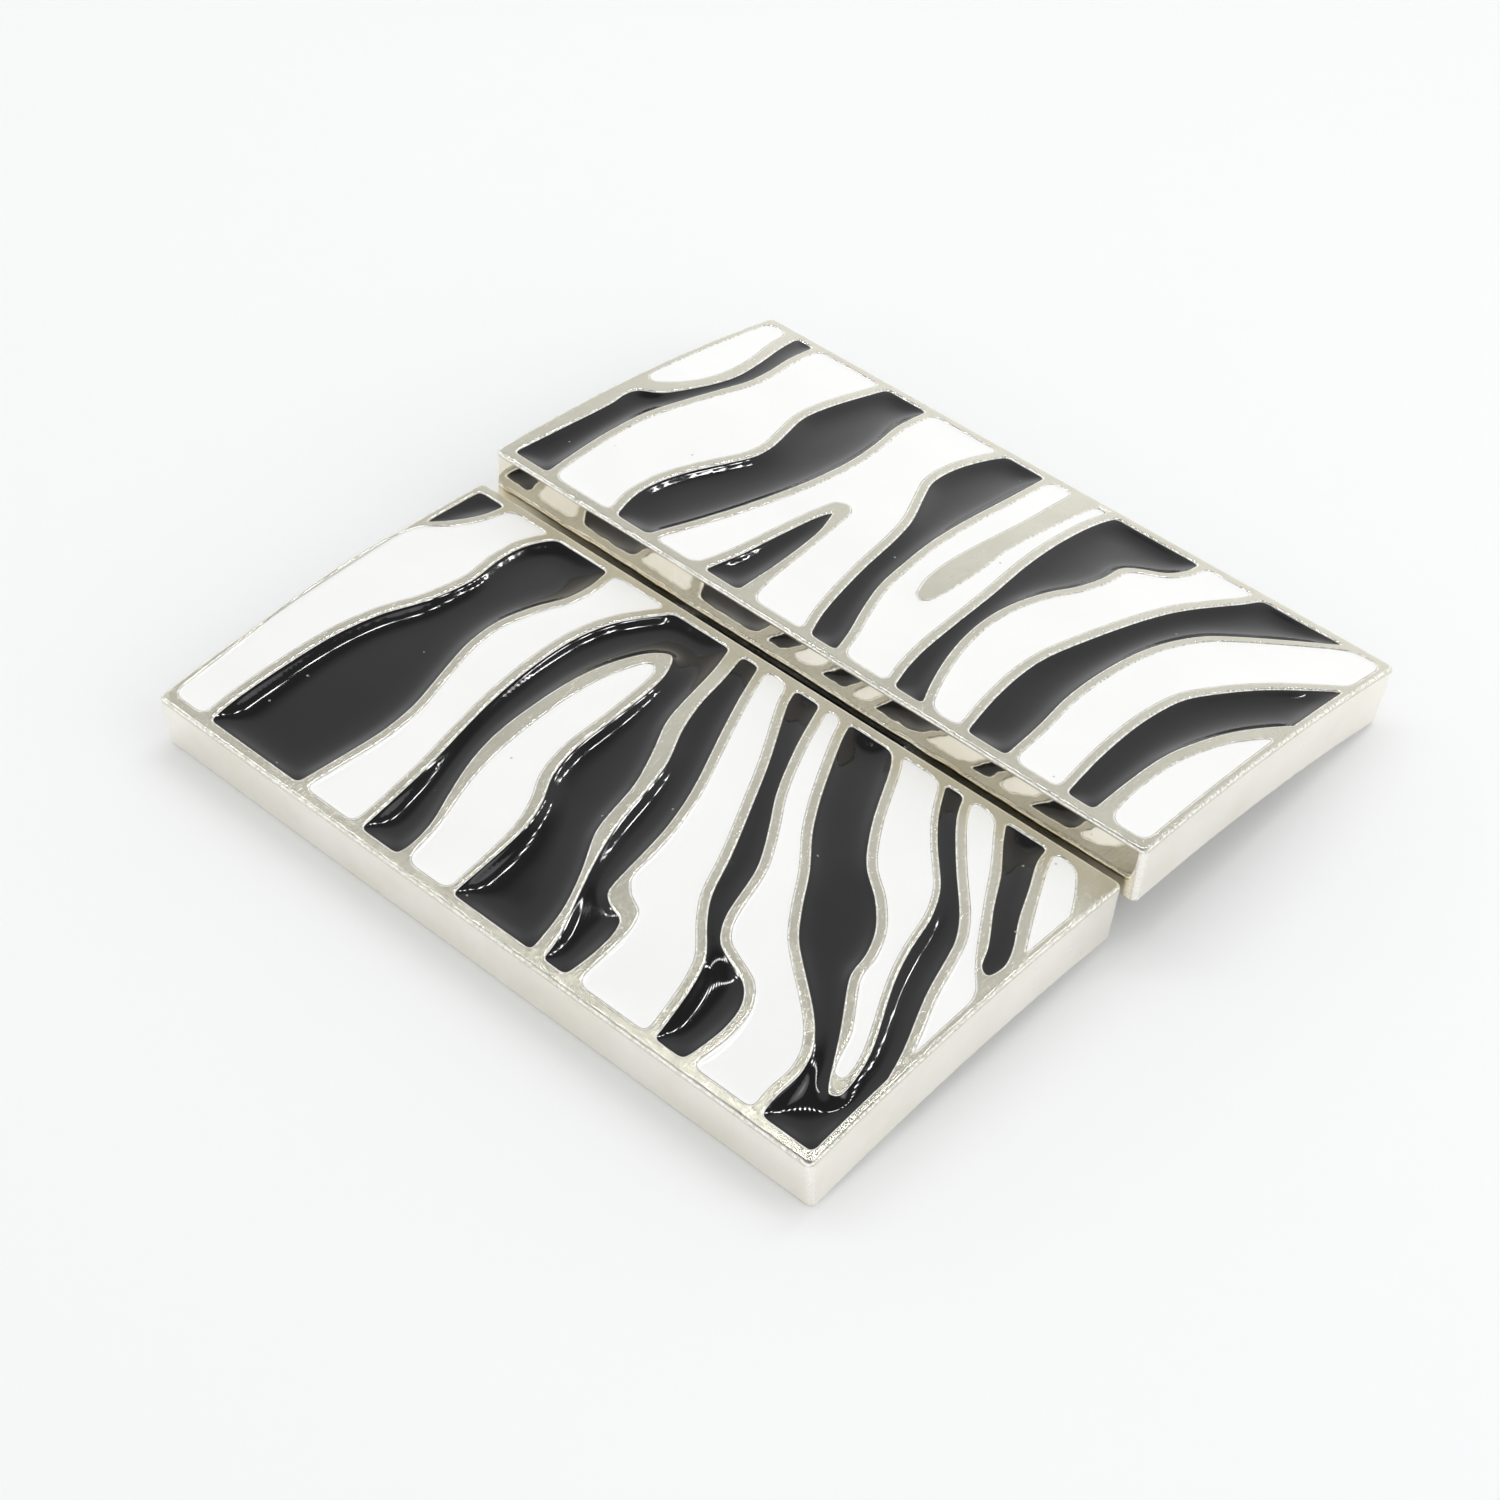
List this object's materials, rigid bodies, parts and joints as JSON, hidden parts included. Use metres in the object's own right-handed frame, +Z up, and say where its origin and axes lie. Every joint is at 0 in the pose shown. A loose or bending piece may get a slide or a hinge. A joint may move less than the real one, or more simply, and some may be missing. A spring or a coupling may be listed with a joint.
{
  "type": "enamelled two-piece belt clasp",
  "caption": "Two arched metal plates filled with black and white enamel that hook together to close a wide waist belt.",
  "frame": {"origin": "middle of the clasp's bounding box, at the surface that both outer ends rest on", "axes": "+X along the belt from the hook half to the catch half, +Y along the joint, +Z up out of the enamelled faces"},
  "size_m": [0.064, 0.0608, 0.0088],
  "materials": {
    "nickel_plate": "pale warm nickel plate over cast zinc, satin walls and polished lines",
    "steel": "plain plated steel",
    "black_enamel": "glossy black enamel",
    "white_enamel": "glossy white enamel"
  },
  "bodies": {
    "hook_half": {"hook_belt_bar": "steel", "hook_enamel_black_1": "black_enamel", "hook_enamel_black_2": "black_enamel", "hook_enamel_black_3": "black_enamel", "hook_enamel_black_4": "black_enamel", "hook_enamel_black_5": "black_enamel", "hook_enamel_black_6": "black_enamel", "hook_enamel_black_7": "black_enamel", "hook_enamel_white_1": "white_enamel", "hook_enamel_white_2": "white_enamel", "hook_enamel_white_3": "white_enamel", "hook_enamel_white_4": "white_enamel", "hook_enamel_white_5": "white_enamel", "hook_enamel_white_6": "white_enamel", "hook_enamel_white_7": "white_enamel", "hook_enamel_white_8": "white_enamel", "hook_frame": "nickel_plate", "hook_tongue": "steel", "tongue_rivet_1": "steel", "tongue_rivet_2": "steel"},
    "pin": {"catch_pin": "steel"},
    "catch_half": {"catch_belt_bar": "steel", "catch_enamel_black_1": "black_enamel", "catch_enamel_black_2": "black_enamel", "catch_enamel_black_3": "black_enamel", "catch_enamel_black_4": "black_enamel", "catch_enamel_black_5": "black_enamel", "catch_enamel_black_6": "black_enamel", "catch_enamel_black_7": "black_enamel", "catch_enamel_white_1": "white_enamel", "catch_enamel_white_2": "white_enamel", "catch_enamel_white_3": "white_enamel", "catch_enamel_white_4": "white_enamel", "catch_enamel_white_5": "white_enamel", "catch_enamel_white_6": "white_enamel", "catch_enamel_white_7": "white_enamel", "catch_frame": "nickel_plate"}
  },
  "joints": [
    {"name": "clasp_release", "type": "slide", "parent": "hook_half", "child": "pin", "axis": [0, 0, 1], "range_m": [0, 0.012]},
    {"name": "clasp_swing", "type": "hinge", "parent": "pin", "child": "catch_half", "pos_m": [0.00373, -0.00045, 0.00505], "axis": [0, -1, 0], "range_deg": [0, 16]}
  ]
}
